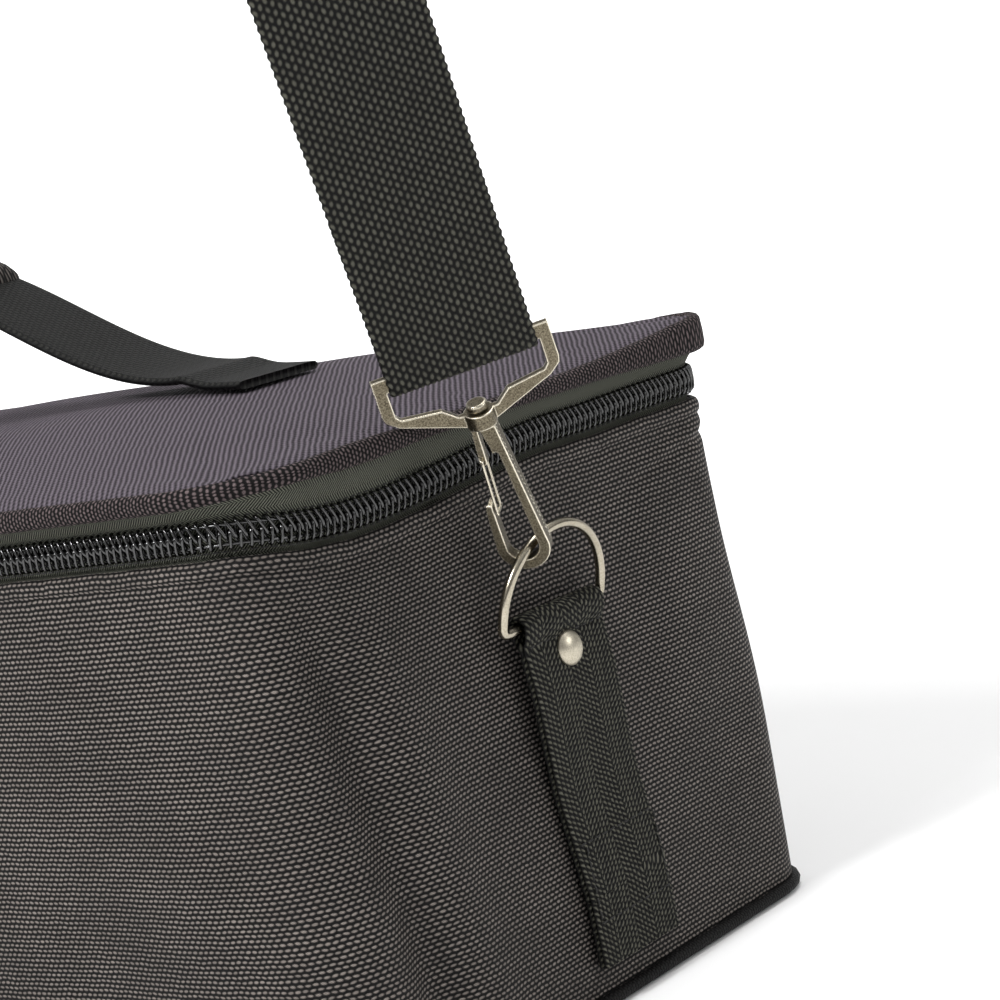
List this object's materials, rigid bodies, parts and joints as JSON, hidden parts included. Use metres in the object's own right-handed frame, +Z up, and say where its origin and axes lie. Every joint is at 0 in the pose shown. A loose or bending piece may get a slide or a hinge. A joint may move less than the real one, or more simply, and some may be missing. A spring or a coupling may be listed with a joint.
{
  "type": "drum stick bag",
  "caption": "Long soft bag for drum sticks with a padded zip-around lid, carrying handle, riveted ring tabs at both ends and a shoulder strap on swivel snap hooks.",
  "frame": {"origin": "centre of the base, on its underside", "axes": "+Z up, +X along the length of the bag, -Y towards the front with the zip pulls"},
  "size_m": [0.5802, 0.2511, 0.4813],
  "materials": {
    "canvas": "coarse woven polyester, matt",
    "canvas_base": "coated base cloth",
    "piping": "woven edge piping",
    "board": "stiff board",
    "foam": "closed cell padding",
    "lining": "smooth lining cloth",
    "elastic": "ribbed elastic",
    "zip_tape": "herringbone tape",
    "zip_coil": "moulded coil, gloss",
    "zip_metal": "antique nickel",
    "binding": "coarse binding",
    "lid_canvas": "fine ribbed cloth",
    "mesh": "open mesh",
    "webbing": "woven webbing",
    "tab_webbing": "twill webbing",
    "rivet": "bright nickel, brushed",
    "nickel": "antique nickel",
    "pad": "padded canvas",
    "plastic": "moulded, satin"
  },
  "bodies": {
    "shell": {"body_wall": "canvas", "top_facing": "canvas", "base_panel": "canvas_base", "base_piping": "piping", "base_board": "board", "wall_foam": "foam", "body_lining": "lining", "stick_sleeves": "lining", "sleeve_elastic": "elastic", "zip_tape_body": "zip_tape", "zip_coil_body": "zip_coil", "zip_end_stops": "zip_metal", "hinge_strip": "canvas", "strap_tab_right": "tab_webbing", "strap_tab_left": "tab_webbing", "tab_rivet_right": "rivet", "tab_rivet_left": "rivet"},
    "lid": {"zip_tape_lid": "zip_tape", "zip_coil_lid": "zip_coil", "lid_binding": "binding", "lid_canvas": "lid_canvas", "lid_foam": "foam", "lid_lining": "lining", "lid_pocket": "mesh", "lid_handle": "webbing", "handle_wrap": "canvas", "handle_anchors": "webbing"},
    "slider_right": {"zip_slider_right": "zip_metal"},
    "slider_left": {"zip_slider_left": "zip_metal"},
    "pull_right": {"zip_pull_right": "zip_metal"},
    "pull_left": {"zip_pull_left": "zip_metal"},
    "ring_right": {"d_ring_right": "nickel"},
    "ring_left": {"d_ring_left": "nickel"},
    "strap": {"hook_frame_right": "nickel", "hook_frame_left": "nickel", "strap_webbing": "webbing", "strap_fold_right": "webbing", "strap_fold_left": "webbing", "shoulder_pad": "pad"},
    "hook_right": {"hook_body_right": "nickel", "swivel_post_right": "nickel"},
    "hook_left": {"hook_body_left": "nickel", "swivel_post_left": "nickel"},
    "gate_right": {"hook_gate_right": "nickel"},
    "gate_left": {"hook_gate_left": "nickel"},
    "adjuster": {"strap_adjuster": "plastic"}
  },
  "joints": [
    {"name": "lid_hinge", "type": "hinge", "parent": "shell", "child": "lid", "pos_m": [0, 0.105, 0.152], "axis": [-1, 0, 0], "range_deg": [0, 110]},
    {"name": "slider_right_slide", "type": "slide", "parent": "shell", "child": "slider_right", "axis": [1, 0, 0], "range_m": [0, 0.15]},
    {"name": "slider_left_slide", "type": "slide", "parent": "shell", "child": "slider_left", "axis": [-1, 0, 0], "range_m": [0, 0.15]},
    {"name": "pull_right_flip", "type": "hinge", "parent": "slider_right", "child": "pull_right", "pos_m": [0.0095, -0.1038, 0.152], "axis": [0, 0, -1], "range_deg": [0, 110]},
    {"name": "pull_left_flip", "type": "hinge", "parent": "slider_left", "child": "pull_left", "pos_m": [-0.0095, -0.1038, 0.152], "axis": [0, 0, 1], "range_deg": [0, 110]},
    {"name": "ring_right_play", "type": "hinge", "parent": "shell", "child": "ring_right", "pos_m": [0.2355, -0.002, 0.1063], "axis": [0, 1, 0], "range_deg": [-1, 1]},
    {"name": "ring_left_play", "type": "hinge", "parent": "shell", "child": "ring_left", "pos_m": [-0.2355, -0.002, 0.1063], "axis": [0, -1, 0], "range_deg": [-1, 1]},
    {"name": "strap_swing", "type": "hinge", "parent": "shell", "child": "strap", "pos_m": [0, -0.002, 0.1101], "axis": [-1, 0, 0], "range_deg": [0, 70]},
    {"name": "hook_right_swivel", "type": "hinge", "parent": "strap", "child": "hook_right", "pos_m": [0.2485, -0.028, 0.1615], "axis": [0.1888, -0.3808, 0.9052], "range_deg": [-12, 8]},
    {"name": "hook_left_swivel", "type": "hinge", "parent": "strap", "child": "hook_left", "pos_m": [-0.2485, -0.028, 0.1615], "axis": [0.1888, 0.3808, -0.9052], "range_deg": [-12, 8]},
    {"name": "gate_right_open", "type": "hinge", "parent": "hook_right", "child": "gate_right", "pos_m": [0.24395, -0.02545, 0.15281], "axis": [0.3393, -0.8397, -0.424], "range_deg": [0, 18]},
    {"name": "gate_left_open", "type": "hinge", "parent": "hook_left", "child": "gate_left", "pos_m": [-0.24395, -0.02545, 0.15281], "axis": [0.3393, 0.8397, 0.424], "range_deg": [0, 18]},
    {"name": "adjuster_slide", "type": "slide", "parent": "strap", "child": "adjuster", "axis": [-0.1888, -0.3808, 0.9052], "range_m": [-0.016, 0.02]}
  ]
}
